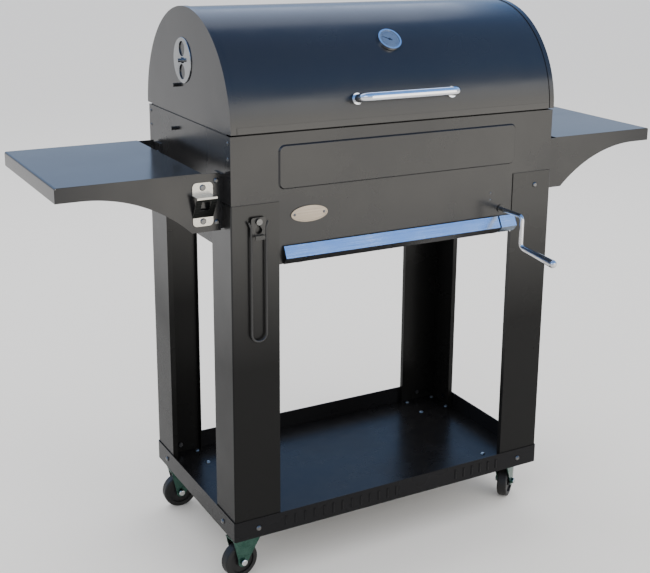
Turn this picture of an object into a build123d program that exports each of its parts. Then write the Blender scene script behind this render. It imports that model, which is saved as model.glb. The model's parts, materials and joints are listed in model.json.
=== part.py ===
from build123d import *
import math
import os

# Charcoal cart grill with a barrel hood, a crank-lifted charcoal tray and two side shelves.
# Millimetres. While it is modelled, the cart stands with its plan centre on the Z axis:
# +X is the cart's right-hand side, -Y its front, Z = 0 the floor under the casters.
# On export everything moves along Y, so that the origin lies under the middle of its plan box.

# ---------------------------------------------------------------- driving dimensions
BODY_W = 800.0            # firebox, outside, left to right
BODY_D = 456.0            # firebox, outside, front to back
SHEET = 1.5               # firebox, hood and shelf sheet
FRAME_SHEET = 2.0         # legs and bottom tray
BASE_Z = 112.0            # underside of the bottom tray, on its casters
SKIRT_H = 45.0
RIM_Z = 992.0             # top of the firebox
SIDE_BOTTOM_Z = 753.0
LEG_TOP_Z = 852.0
LEG_FRONT_W = 107.0
LEG_SIDE_W = 97.0
SHELF_Z = 917.0
SHELF_REACH = 737.0       # outer edge of a shelf, from the middle of the cart
SHELF_INNER = 445.0
SHELF_D = 380.0
APRON_END_DEPTH = 30.0
APRON_ROOT_DEPTH = 120.0
APRON_ARC_R = 320.0
LID_GAP = 4.0
UPSTAND = 9.0             # inner edge of the firebox rim, turned up behind the lid's gap
HOOD_R = 232.2
HOOD_Y = 2.0
HOOD_Z = 994.0
HINGE_Y = 244.0
HINGE_Z = 990.0
HINGE_R = 6.0
CRANK_X = 264.0
CRANK_Z = 773.6
CRANK_ROD_R = 4.75
CRANK_ARM = 70.5
CRANK_ARM_Y = -309.0
GRIP_DROOP = 4.5              # the grip slopes down towards its tip
GRIP_END_Y = -430.0
TRAY_LIFT = 80.0
DRAWER_HALF_W = 250.0
DRAWER_BOTTOM_Z = 719.0
DRAWER_TOP_Z = 757.0
WHEEL_R = 40.0
WHEEL_W = 24.0
CASTER_TRAIL = 22.0
CASTER_X = 350.0
CASTER_Y = 178.0
LID_PIN = (46.0, 1059.0)      # Y, Z of the warming rack's pivot in the lid
BODY_PIN = (64.0, 962.6)      # Y, Z of the rack link's pivot in the firebox

# ---------------------------------------------------------------- worked out from them
HALF_W = BODY_W / 2
HALF_D = BODY_D / 2
IN_W = HALF_W - SHEET
IN_D = HALF_D - SHEET
LEG_X = HALF_W + FRAME_SHEET
LEG_Y = HALF_D + FRAME_SHEET
TRAY_X = LEG_X + FRAME_SHEET
TRAY_Y = LEG_Y + FRAME_SHEET
LID_Z = RIM_Z + LID_GAP
SHELF_Y = SHELF_D / 2
PLAN_SHIFT = -(GRIP_END_Y + HINGE_Y + HINGE_R) / 2
CLEAR = 0.3

parts = {}


# ---------------------------------------------------------------- small helpers
def block(x0, x1, y0, y1, z0, z1):
    return Pos((x0 + x1) / 2, (y0 + y1) / 2, (z0 + z1) / 2) * Box(abs(x1 - x0), abs(y1 - y0), abs(z1 - z0))


def rod_x(x0, x1, y, z, r):
    return Pos((x0 + x1) / 2, y, z) * Rot(0, 90, 0) * Cylinder(r, abs(x1 - x0))


def rod_y(x, y0, y1, z, r):
    return Pos(x, (y0 + y1) / 2, z) * Rot(90, 0, 0) * Cylinder(r, abs(y1 - y0))


def rod_z(x, y, z0, z1, r):
    return Pos(x, y, (z0 + z1) / 2) * Cylinder(r, abs(z1 - z0))


def bar_between(p, q, r):
    start = Vector(*p)
    run = Vector(*q) - start
    return extrude(Plane(origin=start, z_dir=run) * Circle(r), run.length)


def plate_xz(face, y0, y1):
    """A flat face drawn in X and Z, given its thickness from y0 back to y1."""
    return extrude(Plane.XZ.offset(-y0) * face, -(y1 - y0))


def plate_yz(face, x0, x1):
    return extrude(Plane.YZ.offset(x0) * face, x1 - x0)


def polygon(*points):
    return make_face(Polyline(*points, close=True))


def wire_tube(points, bend, r):
    path = FilletPolyline(*points, radius=bend)
    return sweep(Plane(origin=path @ 0, z_dir=path % 0) * Circle(r), path=path)


def mirrored_x(shape):
    return mirror(shape, Plane.YZ)


def mirrored_y(shape):
    return mirror(shape, Plane.XZ)


def group(solids):
    return Compound(children=[s if isinstance(s, Solid) else s.solids()[0] for s in solids])


def drill(names, tool):
    for name in names:
        parts[name] = parts[name] - tool


# Round-headed bolts with a hex nut. A bolt is drawn along its own -Z: head on top at Z = 0,
# shank downwards through `grip` of sheet, nut under it.
def bolt(grip, head_r=5.9, head_h=3.4, shank_r=3.0, nut_af=10.0, nut_h=4.5):
    dome = Pos(0, 0, -2) * Sphere(math.hypot(head_r, 2) + 0.4)
    head = (Pos(0, 0, head_h / 2) * Cylinder(head_r, head_h)) & dome
    shank = rod_z(0, 0, -grip - nut_h - 2, 0, shank_r)
    nut = Pos(0, 0, -grip - nut_h) * extrude(RegularPolygon(nut_af / 2, 6, major_radius=False), nut_h)
    return head + shank + nut


def aimed(shape, point, outward):
    """Turn a bolt so that its head looks along `outward`, and set it at `point`."""
    return Plane(origin=point, z_dir=outward).location * shape


def hole(point, along, r=3.3, reach=30.0):
    return Plane(origin=point, z_dir=along).location * Cylinder(r, 2 * reach)


# ---------------------------------------------------------------- bottom tray
def base_tray():
    top = BASE_Z + SKIRT_H
    outer = extrude(Pos(0, 0, BASE_Z) * RectangleRounded(2 * TRAY_X, 2 * TRAY_Y, 4), SKIRT_H)
    inner = extrude(Pos(0, 0, BASE_Z + FRAME_SHEET) * RectangleRounded(2 * LEG_X, 2 * LEG_Y, 2), top)
    tray = outer - inner
    pitch, first, rib_r, rib_half = 23.54, -282.5, 3.0, 11.0
    left_group, gap, right_group = 13, 6, 6
    ribs = []
    for i in list(range(left_group)) + list(range(left_group + gap, left_group + gap + right_group)):
        x = first + pitch * i
        rib = rod_z(x, -TRAY_Y + 1, BASE_Z + 22 - rib_half, BASE_Z + 22 + rib_half, rib_r)
        ribs.append(rib & block(x - 5, x + 5, -TRAY_Y - 4, -TRAY_Y + 0.5, BASE_Z, top))
    return tray + ribs


# ---------------------------------------------------------------- legs
def leg_front_left():
    """Folded angle; its two free edges turn inwards below the firebox."""
    bottom, return_top, fold = BASE_Z + FRAME_SHEET, 715.0, 10.0
    x0, y0, t = -LEG_X, -LEG_Y, FRAME_SHEET
    front = block(x0, x0 + LEG_FRONT_W, y0, y0 + t, bottom, LEG_TOP_Z)
    side = block(x0, x0 + t, y0, y0 + LEG_SIDE_W, bottom, LEG_TOP_Z)
    angle = front + side
    corner = angle.edges().filter_by(Axis.Z).sort_by_distance((x0, y0, 400))[0]
    angle = fillet(corner, 3)
    front_return = block(x0 + LEG_FRONT_W - t, x0 + LEG_FRONT_W, y0 + t, y0 + t + fold, bottom, return_top)
    side_return = block(x0 + t, x0 + t + fold, y0 + LEG_SIDE_W - t, y0 + LEG_SIDE_W, bottom, return_top)
    return angle + front_return + side_return


# ---------------------------------------------------------------- firebox
def front_panel():
    cut_w, ear_z, top_z = DRAWER_HALF_W + 3, DRAWER_BOTTOM_Z, RIM_Z
    cut_z = DRAWER_TOP_Z + 1
    outline = polygon((-HALF_W, ear_z), (-cut_w, ear_z), (-cut_w, cut_z), (cut_w, cut_z),
                      (cut_w, ear_z), (HALF_W, ear_z), (HALF_W, top_z), (-HALF_W, top_z))
    panel = plate_xz(outline, -HALF_D, -IN_D)
    # raised pressing: a flat field with sloping edges, hollow behind
    rise, field = 3.5, Pos(0, 922) * RectangleRounded(592, 92, 14)
    raised = extrude(Plane.XZ.offset(HALF_D) * field, rise, taper=40)
    hollow_face = Pos(0, 922) * RectangleRounded(589, 89, 12.5)
    hollow = extrude(Plane.XZ.offset(IN_D) * hollow_face, rise, taper=40)
    panel = panel + raised - hollow
    rim = block(-HALF_W + 2, HALF_W - 2, -IN_D, -IN_D + 14, top_z - SHEET, top_z)
    panel = panel + (rim & block(-IN_W + 16, IN_W - 16, -HALF_D, 0, 0, 2000))
    inner = -IN_D + 14
    panel = panel + block(-IN_W + 16, IN_W - 16, inner - SHEET, inner, top_z - SHEET, top_z + UPSTAND)
    end = block(-IN_W, -IN_W + SHEET, -IN_D, -IN_D + 18, 760, 985)
    panel = panel + end + mirrored_x(end)
    return panel - rod_y(CRANK_X, -250, -200, CRANK_Z, 8.1)


def rear_panel():
    panel = block(-HALF_W, HALF_W, IN_D, HALF_D, SIDE_BOTTOM_Z, RIM_Z)
    inner = IN_D - 14
    rim = block(-IN_W + 16, IN_W - 16, inner, IN_D, RIM_Z - SHEET, RIM_Z)
    rim = rim + block(-IN_W + 16, IN_W - 16, inner, inner + SHEET, RIM_Z - SHEET, RIM_Z + UPSTAND)
    end = block(-IN_W, -IN_W + SHEET, IN_D - 18, IN_D, 760, 985)
    panel = panel + rim + end + mirrored_x(end)
    return panel - rod_y(CRANK_X, 200, 250, CRANK_Z, 8.1)


def side_panel_left():
    panel = block(-HALF_W, -IN_W, -IN_D, IN_D, SIDE_BOTTOM_Z, RIM_Z)
    hem = rod_y(-IN_W + 1.5, -IN_D + 20, IN_D - 20, SIDE_BOTTOM_Z + 3, 2.6)
    hem = hem & block(-IN_W - 0.5, -380, -300, 300, SIDE_BOTTOM_Z + 1.6, 800)
    reach = IN_D - 20
    panel = panel + block(-IN_W, -IN_W + 1.8, -reach, reach, RIM_Z - 14, RIM_Z - 2)
    panel = panel + block(-IN_W + 0.6, -IN_W + 1.8, -reach, reach, RIM_Z - 2, RIM_Z + UPSTAND)
    return panel + hem - rod_x(-420, -380, BODY_PIN[0], BODY_PIN[1], 4.5)


def floor_plate_left():
    """Closes the firebox bottom beside the drawer and folds down into the drawer's runner."""
    edge, ledge = DRAWER_HALF_W + 2, 12.0
    deck = block(-IN_W, -edge, -IN_D, IN_D, SIDE_BOTTOM_Z, SIDE_BOTTOM_Z + SHEET)
    web = block(-edge - SHEET, -edge, -IN_D, IN_D, DRAWER_BOTTOM_Z - 2.5, SIDE_BOTTOM_Z + SHEET)
    runner = block(-edge, -edge + ledge, -IN_D, IN_D, DRAWER_BOTTOM_Z - 2.5, DRAWER_BOTTOM_Z - 0.8)
    return deck + web + runner


def grate_rail_front():
    reach = IN_W - SHEET - 0.5
    upright = block(-reach, reach, -IN_D, -IN_D + SHEET, 918, 938)
    ledge = block(-reach, reach, -IN_D, -IN_D + 18, 936.5, 938)
    return upright + ledge


def cooking_grate_right():
    x0, x1, y1, rod_r, cross_r = 3.0, 391.0, 221.0, 2.5, 3.0
    cross_z = 938.0 + cross_r
    rod_zc = cross_z + cross_r + rod_r - 0.8
    count = 22
    step = (x1 - x0 - 2 * cross_r) / (count - 1)
    bars = [rod_x(x0, x1, y, cross_z, cross_r) for y in (-214, -70, 70, 214)]
    bars += [rod_y(x0 + cross_r + step * i, -y1, y1, rod_zc, rod_r) for i in range(count)]
    grate = bars[0]
    return grate + bars[1:]


# ---------------------------------------------------------------- charcoal tray and its lift
PIN_Y = 100.0
PIN_Z = 812.0
PIN_R = 4.0
CAM_IN, CAM_OUT = 353.5, 356.5
GUIDE_IN, GUIDE_OUT = 370.0, 372.5
SLOT_W = 9.0


def cam_slot(y_pin):
    middle = (y_pin - TRAY_LIFT / 2, PIN_Z + TRAY_LIFT / 2)
    run = TRAY_LIFT * math.sqrt(2)
    return Pos(*middle) * Rot(0, 0, 135) * SlotCenterToCenter(run, SLOT_W)


def guide_slot(y_pin):
    return Pos(y_pin, PIN_Z + TRAY_LIFT / 2) * Rot(0, 0, 90) * SlotCenterToCenter(TRAY_LIFT, SLOT_W)


def tray_guide_right():
    face = polygon((-205, 760), (205, 760), (205, 914), (-205, 914))
    web = plate_yz(face - guide_slot(-PIN_Y) - guide_slot(PIN_Y), GUIDE_IN, GUIDE_OUT)
    ledge = block(345, GUIDE_OUT, -205, 205, 760, 762.5)
    front = block(GUIDE_IN, IN_W, -205, -202.5, 760, 914)
    return web + ledge + front + mirrored_y(front)


def slider_frame():
    face = polygon((-204, 763), (118, 763), (118, 868), (84, 904), (-204, 904))
    window = Pos(-43, 796) * RectangleRounded(90, 36, 8)
    cam = plate_yz(face - cam_slot(-PIN_Y) - cam_slot(PIN_Y) - window, CAM_IN, CAM_OUT)
    bar = block(-CAM_IN, CAM_IN, -200, -194, 764, 792)
    return cam + mirrored_x(cam) + bar - rod_y(CRANK_X, -210, -180, CRANK_Z, 6.5)


def slider_nut():
    body = block(CRANK_X - 13, CRANK_X + 13, -194, -170, CRANK_Z - 12, CRANK_Z + 14)
    body = fillet(body.edges().filter_by(Axis.Y), 3)
    return body - rod_y(CRANK_X, -220, -150, CRANK_Z, CRANK_ROD_R + CLEAR)


def charcoal_tray():
    half_x, half_y, z0, z1 = 340.0, 202.0, 801.0, 832.0
    pan = block(-half_x, half_x, -half_y, half_y, z0, z1)
    pan = pan - block(-half_x + SHEET, half_x - SHEET, -half_y + SHEET, half_y - SHEET, z0 + SHEET, z1 + 1)
    slots = Sketch() + [Pos(-306 + 36 * i, y) * Rot(0, 0, 90) * SlotOverall(84, 9)
                        for i in range(18) for y in (-120, 0, 120)]
    pan = pan - extrude(Pos(0, 0, z0 - 1) * slots, 4)
    for side in (-1, 1):
        for y in (-PIN_Y, PIN_Y):
            pan = pan + rod_x(side * (half_x - SHEET), side * 386, y, PIN_Z, PIN_R)
    return pan


GRIP_REACH = (CRANK_ARM_Y - GRIP_END_Y) / math.cos(math.radians(GRIP_DROOP))


def crank_rod():
    low, tip = CRANK_Z - CRANK_ARM, GRIP_REACH - 10
    a = math.radians(GRIP_DROOP)
    end = (CRANK_X, CRANK_ARM_Y - tip * math.cos(a), low - tip * math.sin(a))
    route = [(CRANK_X, 222, CRANK_Z), (CRANK_X, CRANK_ARM_Y, CRANK_Z), (CRANK_X, CRANK_ARM_Y, low), end]
    return wire_tube(route, 10, CRANK_ROD_R)


def crank_grip():
    """Tapered sleeve with a domed tip, drawn along -Y and then tipped down with the rod's end."""
    start, shoulder, tip_r = 12.0, GRIP_REACH - 8, 9.0
    length = shoulder - start
    cone = Pos(0, -start - length / 2, 0) * Rot(90, 0, 0) * Cone(6.6, tip_r, length)
    dome = Pos(0, -shoulder, 0) * Sphere(tip_r)
    dome = dome & block(-10, 10, -GRIP_REACH, -shoulder, -10, 10)
    grip = cone + dome - rod_y(0, 1, -GRIP_REACH + 9, 0, CRANK_ROD_R + CLEAR)
    return Pos(CRANK_X, CRANK_ARM_Y, CRANK_Z - CRANK_ARM) * Rot(GRIP_DROOP, 0, 0) * grip


def crank_bush(wall_outer, wall_inner, outward):
    """Flanged sleeve for the crank rod in a panel whose outside is at wall_outer."""
    flange = rod_y(CRANK_X, wall_outer, wall_outer + 2.5 * outward, CRANK_Z, 9.3)
    sleeve = rod_y(CRANK_X, wall_outer, wall_inner - 8 * outward, CRANK_Z, 8)
    return flange + sleeve - rod_y(CRANK_X, -260, 260, CRANK_Z, CRANK_ROD_R + CLEAR)


# ---------------------------------------------------------------- ash drawer
LIP_LEFT, LIP_RIGHT, LIP_SPLIT = -286.0, 300.0, 254.0
NOSE_Y, NOSE_Z = -245.2, 734.0
FACE_Y = -231.5


def ash_drawer():
    t, z0, z1, back = 1.2, DRAWER_BOTTOM_Z, 751.0, 205.0
    pan = block(-DRAWER_HALF_W, DRAWER_HALF_W, -230, back, z0, z1)
    pan = pan - block(-DRAWER_HALF_W + t, DRAWER_HALF_W - t, -230 + t, back - t, z0 + t, z1 + 1)
    plate = block(LIP_LEFT, LIP_SPLIT, FACE_Y, -230, z0, DRAWER_TOP_Z - 1)
    under = polygon((-230, z0), (FACE_Y, z0), (NOSE_Y + 1.4, NOSE_Z - 0.9), (NOSE_Y + 2.3, NOSE_Z + 0.1),
                    (FACE_Y, z0 + 1.7), (-230, z0 + 1.7))
    return pan + plate + plate_yz(under, LIP_LEFT, LIP_SPLIT)


def drawer_lip():
    t, top = 1.2, DRAWER_TOP_Z + 0.5
    fold = polygon((FACE_Y, 748), (FACE_Y, top), (FACE_Y - t, top), (NOSE_Y, NOSE_Z),
                   (NOSE_Y + 1.4, NOSE_Z + 0.3), (FACE_Y - t, 754.6), (FACE_Y - t, 748))
    return plate_yz(fold, LIP_LEFT, LIP_SPLIT)


def lip_end():
    """Short fixed length of the same section, between the drawer's end and the leg."""
    top = DRAWER_TOP_Z + 0.5
    outer = polygon((-LEG_Y, DRAWER_BOTTOM_Z), (-LEG_Y, top), (FACE_Y - 1.2, top),
                    (NOSE_Y, NOSE_Z), (FACE_Y, DRAWER_BOTTOM_Z))
    inner = polygon((-LEG_Y - 1.2, 721.5), (-LEG_Y - 1.2, 754), (-234, 753), (NOSE_Y + 2.6, NOSE_Z + 0.3),
                    (FACE_Y - 0.5, 721.5))
    spacer = block(LIP_SPLIT + 4, LEG_X - LEG_FRONT_W - 0.5, -LEG_Y, -HALF_D, DRAWER_BOTTOM_Z, top)
    return plate_yz(outer - inner, LIP_SPLIT + 4, LIP_RIGHT) + spacer


# ---------------------------------------------------------------- side shelves
def shelf_top_left():
    x0, x1, y = -SHELF_REACH, -SHELF_INNER, SHELF_Y
    outer = block(x0, x1, -y, y, SHELF_Z - APRON_END_DEPTH, SHELF_Z)
    bend = outer.edges().filter_by(Axis.Y).group_by(Axis.X)[0].sort_by(Axis.Z)[-1]
    outer = fillet(bend, 4)
    inner = block(x0 + SHEET, x1 + 1, -y - 1, y + 1, SHELF_Z - 100, SHELF_Z - SHEET)
    bend = inner.edges().filter_by(Axis.Y).group_by(Axis.X)[0].sort_by(Axis.Z)[-1]
    inner = fillet(bend, 2.5)
    stiffener = block(x1 - SHEET, x1, -y + 3, y - 3, SHELF_Z - 16, SHELF_Z - SHEET)
    return outer - inner + stiffener


def apron_face():
    """One apron in X and Z: shallow at the shelf's end, arching down to its root at the firebox."""
    top, x_end, x_root = SHELF_Z - SHEET, -SHELF_REACH + SHEET, -HALF_W - 6
    shallow = SHELF_Z - APRON_END_DEPTH
    deep = SHELF_Z - APRON_ROOT_DEPTH
    arc_start = (-690.0, shallow)
    centre = (arc_start[0], shallow - APRON_ARC_R)
    drop = APRON_ROOT_DEPTH - APRON_END_DEPTH
    reach = math.sqrt(APRON_ARC_R ** 2 - (APRON_ARC_R - drop) ** 2)
    half = math.acos((APRON_ARC_R - drop) / APRON_ARC_R) / 2
    middle = (centre[0] + APRON_ARC_R * math.sin(half), centre[1] + APRON_ARC_R * math.cos(half))
    arc_end = (arc_start[0] + reach, deep)
    edge = Polyline((x_root, deep), (x_root, top), (x_end + 3, top), (x_end, top - 3),
                    (x_end, shallow), arc_start)
    arch = ThreePointArc(arc_start, middle, arc_end)
    foot = Line(arc_end, (x_root, deep))
    return make_face([edge, arch, foot])


def shelf_apron_front_left():
    return plate_xz(apron_face(), -SHELF_Y, -SHELF_Y + SHEET)


def shelf_bracket_front_left():
    """Angle between apron and firebox, packed out above the leg's top edge."""
    y0, z0, z1 = -SHELF_Y + SHEET, 800.0, 912.0
    side = block(-LEG_X - 2, -LEG_X, y0, y0 + 36, z0, z1)
    pad = block(-LEG_X, -HALF_W, y0, y0 + 36, LEG_TOP_Z + 2, z1)
    wing = block(-LEG_X - 30, -LEG_X, y0, y0 + 2, z0, z1)
    return side + pad + wing


def bottle_opener():
    x0, x1, wall, t = -466.0, -423.0, -SHELF_Y, 2.0
    top, ledge_z, foot, bottom = SHELF_Z - 18, SHELF_Z - 43, SHELF_Z - 88, SHELF_Z - 107
    nose = wall - 26
    middle = (x0 + x1) / 2
    ears = Pos(middle, (top + bottom) / 2) * RectangleRounded(x1 - x0, top - bottom, 9)
    plate = plate_xz(ears, wall - t, wall) - block(x0 - 1, x1 + 1, wall - 5, wall + 5, foot, ledge_z)
    ledge = block(x0, x1, nose, wall, ledge_z - t, ledge_z)
    slope = plate_yz(polygon((nose, ledge_z), (nose, ledge_z - 4), (wall - t, foot - 1), (wall, foot - 1),
                             (wall, foot + 3), (nose + t, ledge_z - t)), x0, x1)
    mouth = block(middle - 10, middle + 10, nose - 5, wall - 6, ledge_z - 30, ledge_z - 9)
    plate = plate + ledge + (slope - mouth)
    for z in (top - 10, bottom + 10):
        plate = plate - rod_y(middle, wall - 5, wall + 5, z, 2.4)
    return plate


def badge():
    disc = plate_xz(Pos(-226, 820) * Ellipse(42, 17), -HALF_D - 2, -HALF_D)
    dish = plate_xz(Pos(-226, 820) * Ellipse(39.6, 14.6), -HALF_D - 3, -HALF_D - 1.3)
    return disc - dish - rod_y(-260, -240, -220, 820, 1.7) - rod_y(-192, -240, -220, 820, 1.7)


def screw(grip, head_r=4.6, shank_r=2.2):
    dome = Pos(0, 0, -3) * Sphere(math.hypot(head_r, 3) + 0.3)
    head = (Pos(0, 0, 1.3) * Cylinder(head_r, 2.6)) & dome
    return head + rod_z(0, 0, -grip - 4, 0, shank_r)


# ---------------------------------------------------------------- hood
def ring_sector(r_in, r_out, x0, x1, z_cut):
    """Half-barrel band about the hood's axis, kept above z_cut."""
    band = Pos(HOOD_Y, HOOD_Z) * (Circle(r_out) - Circle(r_in))
    return plate_yz(band, x0, x1) & block(x0 - 1, x1 + 1, -400, 400, z_cut, HOOD_Z + 400)


def on_hood(angle_deg, r):
    """Y, Z of a point on the hood's front quarter, `angle_deg` above level."""
    a = math.radians(angle_deg)
    return HOOD_Y - r * math.cos(a), HOOD_Z + r * math.sin(a)


HANDLE_X = 117.0
HANDLE_ANGLE = 13.6           # the handle's legs stand square on the hood, this far above level
HANDLE_REACH = 40.0
GAUGE_X = -3.0
GAUGE_ANGLE = 44.9
GAUGE_DEPTH = 6.5
VENT_Y = 12.0
VENT_Z = 1115.0


def square_to_hood(x, angle_deg, r):
    """Plane that faces out of the hood's front quarter."""
    y, z = on_hood(angle_deg, r)
    a = math.radians(angle_deg)
    return Plane(origin=(x, y, z), x_dir=(1, 0, 0), z_dir=(0, -math.cos(a), math.sin(a)))


def hood_skin():
    skin = ring_sector(HOOD_R - SHEET, HOOD_R, -IN_W, IN_W, LID_Z)
    hem = ring_sector(HOOD_R - 0.2, HOOD_R + 0.9, -386, 386, LID_Z)
    hem = hem & block(-400, 400, -300, -200, LID_Z, LID_Z + 13)
    skin = skin + hem
    for side in (-1, 1):
        skin = skin - square_to_hood(side * HANDLE_X, HANDLE_ANGLE, HOOD_R).location * Cylinder(4.3, 30)
    return skin - square_to_hood(GAUGE_X, GAUGE_ANGLE, HOOD_R).location * Cylinder(5.4, 30)


def hood_end_left():
    disc = Pos(HOOD_Y, HOOD_Z) * Circle(HOOD_R + SHEET)
    plate = plate_yz(disc, -HALF_W, -IN_W) & block(-410, -390, -400, 400, LID_Z, HOOD_Z + 400)
    rim = ring_sector(HOOD_R, HOOD_R + SHEET, -HALF_W, -HALF_W + 12, LID_Z)
    cap = plate + rim
    for y in (VENT_Y - 24, VENT_Y + 24):
        cap = cap - rod_x(-420, -380, y, VENT_Z, 15)
    cap = cap - rod_x(-420, -380, VENT_Y, VENT_Z, 4.5)
    return cap - rod_x(-420, -380, LID_PIN[0], LID_PIN[1], 4.5)


def vent_left():
    """Round damper plate with two holes, and the spindle it turns on."""
    face = -HALF_W - 0.4
    disc = rod_x(face - 2, face, VENT_Y, VENT_Z, 48)
    disc = fillet(disc.edges().group_by(Axis.X)[0], 1.2)
    for z in (VENT_Z - 24, VENT_Z + 24):
        disc = disc - rod_x(-420, -380, VENT_Y, z, 16)
    disc = disc - rod_x(-420, -380, VENT_Y, VENT_Z, 4.0)
    spindle = rod_x(-HALF_W - 12, -391, VENT_Y, VENT_Z, 4.0)
    collar = rod_x(face - 5, face - 2, VENT_Y, VENT_Z, 6.5)
    inner = rod_x(-IN_W + 0.4, -IN_W + 3.4, VENT_Y, VENT_Z, 9)
    return group([disc, spindle + collar + inner])


def lid_handle():
    barrel = plate_yz(Pos(HOOD_Y, HOOD_Z) * Circle(HOOD_R), -200, 200)
    feet = [on_hood(HANDLE_ANGLE, HOOD_R - 3), on_hood(HANDLE_ANGLE, HOOD_R + HANDLE_REACH)]
    route = [(-HANDLE_X, *feet[0]), (-HANDLE_X, *feet[1]), (HANDLE_X, *feet[1]), (HANDLE_X, *feet[0])]
    bar = wire_tube(route, 20, 9.3)
    for side in (-1, 1):
        seat = square_to_hood(side * HANDLE_X, HANDLE_ANGLE, HOOD_R).location
        bar = bar + seat * (Pos(0, 0, 2) * Cylinder(12, 12))
    bar = bar - barrel
    for side in (-1, 1):
        seat = square_to_hood(side * HANDLE_X, HANDLE_ANGLE, HOOD_R).location
        bar = bar + seat * (Pos(0, 0, -5) * Cylinder(4, 20))
    return bar


def lid_nut():
    ring = RegularPolygon(7.5, 6, major_radius=False)
    return extrude(ring, 5) - Cylinder(4.1, 20)


def gauge_plane(r):
    return square_to_hood(GAUGE_X, GAUGE_ANGLE, r)


def thermometer_case():
    body = extrude(Circle(26.5), GAUGE_DEPTH) - Pos(0, 0, GAUGE_DEPTH - 3.3) * extrude(Circle(22.8), 6)
    stem = Pos(0, 0, -62) * extrude(Circle(3.5), 64) + Pos(0, 0, -9) * extrude(Circle(5.0), 11)
    case = gauge_plane(HOOD_R).location * (body + stem)
    return case - (plate_yz(Pos(HOOD_Y, HOOD_Z) * Circle(HOOD_R), -60, 60) - gauge_plane(HOOD_R).location
                   * (Pos(0, 0, -40) * Cylinder(5.2, 90)))


def thermometer_dial():
    return gauge_plane(HOOD_R + GAUGE_DEPTH - 3.2).location * (extrude(Circle(22.5), 0.8) - Cylinder(1.4, 6))


def thermometer_needle():
    hand = polygon((-1.6, -6), (1.6, -6), (0.4, 17), (-0.4, 17))
    needle = Pos(0, 0, 0.4) * extrude(hand, 0.5) + extrude(Circle(2.6), 1.6)
    return gauge_plane(HOOD_R + GAUGE_DEPTH - 2.2).location * Rot(0, 0, 62) * needle


# ---------------------------------------------------------------- lid hinges
HINGE_X = 300.0


def knuckle(x0, x1):
    return rod_x(x0, x1, HINGE_Y, HINGE_Z, HINGE_R)


def hinge_leaf_body():
    leaf = block(-30, 30, HALF_D, HALF_D + 2, 950, 984)
    link = block(-30, -10.4, HALF_D, HINGE_Y, HINGE_Z - 6, HINGE_Z - 4)
    outer = knuckle(-30, -10.4) + link
    shape = leaf + outer + mirrored_x(outer)
    shape = shape - rod_x(-40, 40, HINGE_Y, HINGE_Z, 3.2)
    return shape


def hinge_leaf_lid():
    leaf = ring_sector(HOOD_R, HOOD_R + 2, -30, 30, LID_Z + 2)
    leaf = leaf & block(-31, 31, 200, 260, LID_Z + 2, LID_Z + 36)
    link = block(-10, 10, HOOD_Y + HOOD_R + 0.4, HINGE_Y + 2, HINGE_Z + 5, LID_Z + 4)
    link = link - block(-11, 11, 200, HOOD_Y + HOOD_R + 1.6, 980, LID_Z)
    shape = leaf + link + knuckle(-10, 10)
    return shape - rod_x(-40, 40, HINGE_Y, HINGE_Z, 3.2)


def hinge_pin():
    return rod_x(-32, 32, HINGE_Y, HINGE_Z, 2.9) + rod_x(-34, -32, HINGE_Y, HINGE_Z, 4.5)


# ---------------------------------------------------------------- warming rack and its links
RACK_X = 383.0
LINK_X = 391.0
PIN_END = HALF_W + 11.0
LINK_END = (BODY_PIN[0] + LID_PIN[0] - HINGE_Y, BODY_PIN[1] + LID_PIN[1] - HINGE_Z)
RACK_BAR_Z = 1040.0


def warming_rack():
    pieces = []
    for side in (-1, 1):
        x = side * RACK_X
        pieces.append(rod_y(x, -154, 60, RACK_BAR_Z, 3))
        pieces.append(rod_z(x, LID_PIN[0], RACK_BAR_Z, LID_PIN[1], 2.8))
        pieces.append(Pos(x, LID_PIN[0], LID_PIN[1]) * Sphere(4.8))
        pieces.append(rod_x(x, side * PIN_END, LID_PIN[0], LID_PIN[1], 4))
        pieces.append(rod_x(x - 2.4, x + 2.4, LINK_END[0], LINK_END[1], 8))
    count = 13
    step = 204 / (count - 1)
    pieces += [rod_x(-RACK_X - 1, RACK_X + 1, -149 + step * i, RACK_BAR_Z + 3.6, 2) for i in range(count)]
    rack = pieces[0] + pieces[1:]
    return rack - rod_x(-420, 420, LINK_END[0], LINK_END[1], 3.5)


def rack_link_left():
    root, end = BODY_PIN, LINK_END
    link = bar_between((-LINK_X, root[0], root[1]), (-LINK_X, end[0], end[1]), 3)
    link = link + Pos(-LINK_X, root[0], root[1]) * Sphere(4.6) + Pos(-LINK_X, end[0], end[1]) * Sphere(3.6)
    link = link + rod_x(-PIN_END, -LINK_X, root[0], root[1], 4)
    return link + rod_x(-LINK_X, -376, end[0], end[1], 3)


# ---------------------------------------------------------------- grate lifter, hung on the front left leg
STUD = (-344.5, 818.0)
KEYHOLE_DROP = 18.0
LIFTER_Y = -236.5


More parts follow.
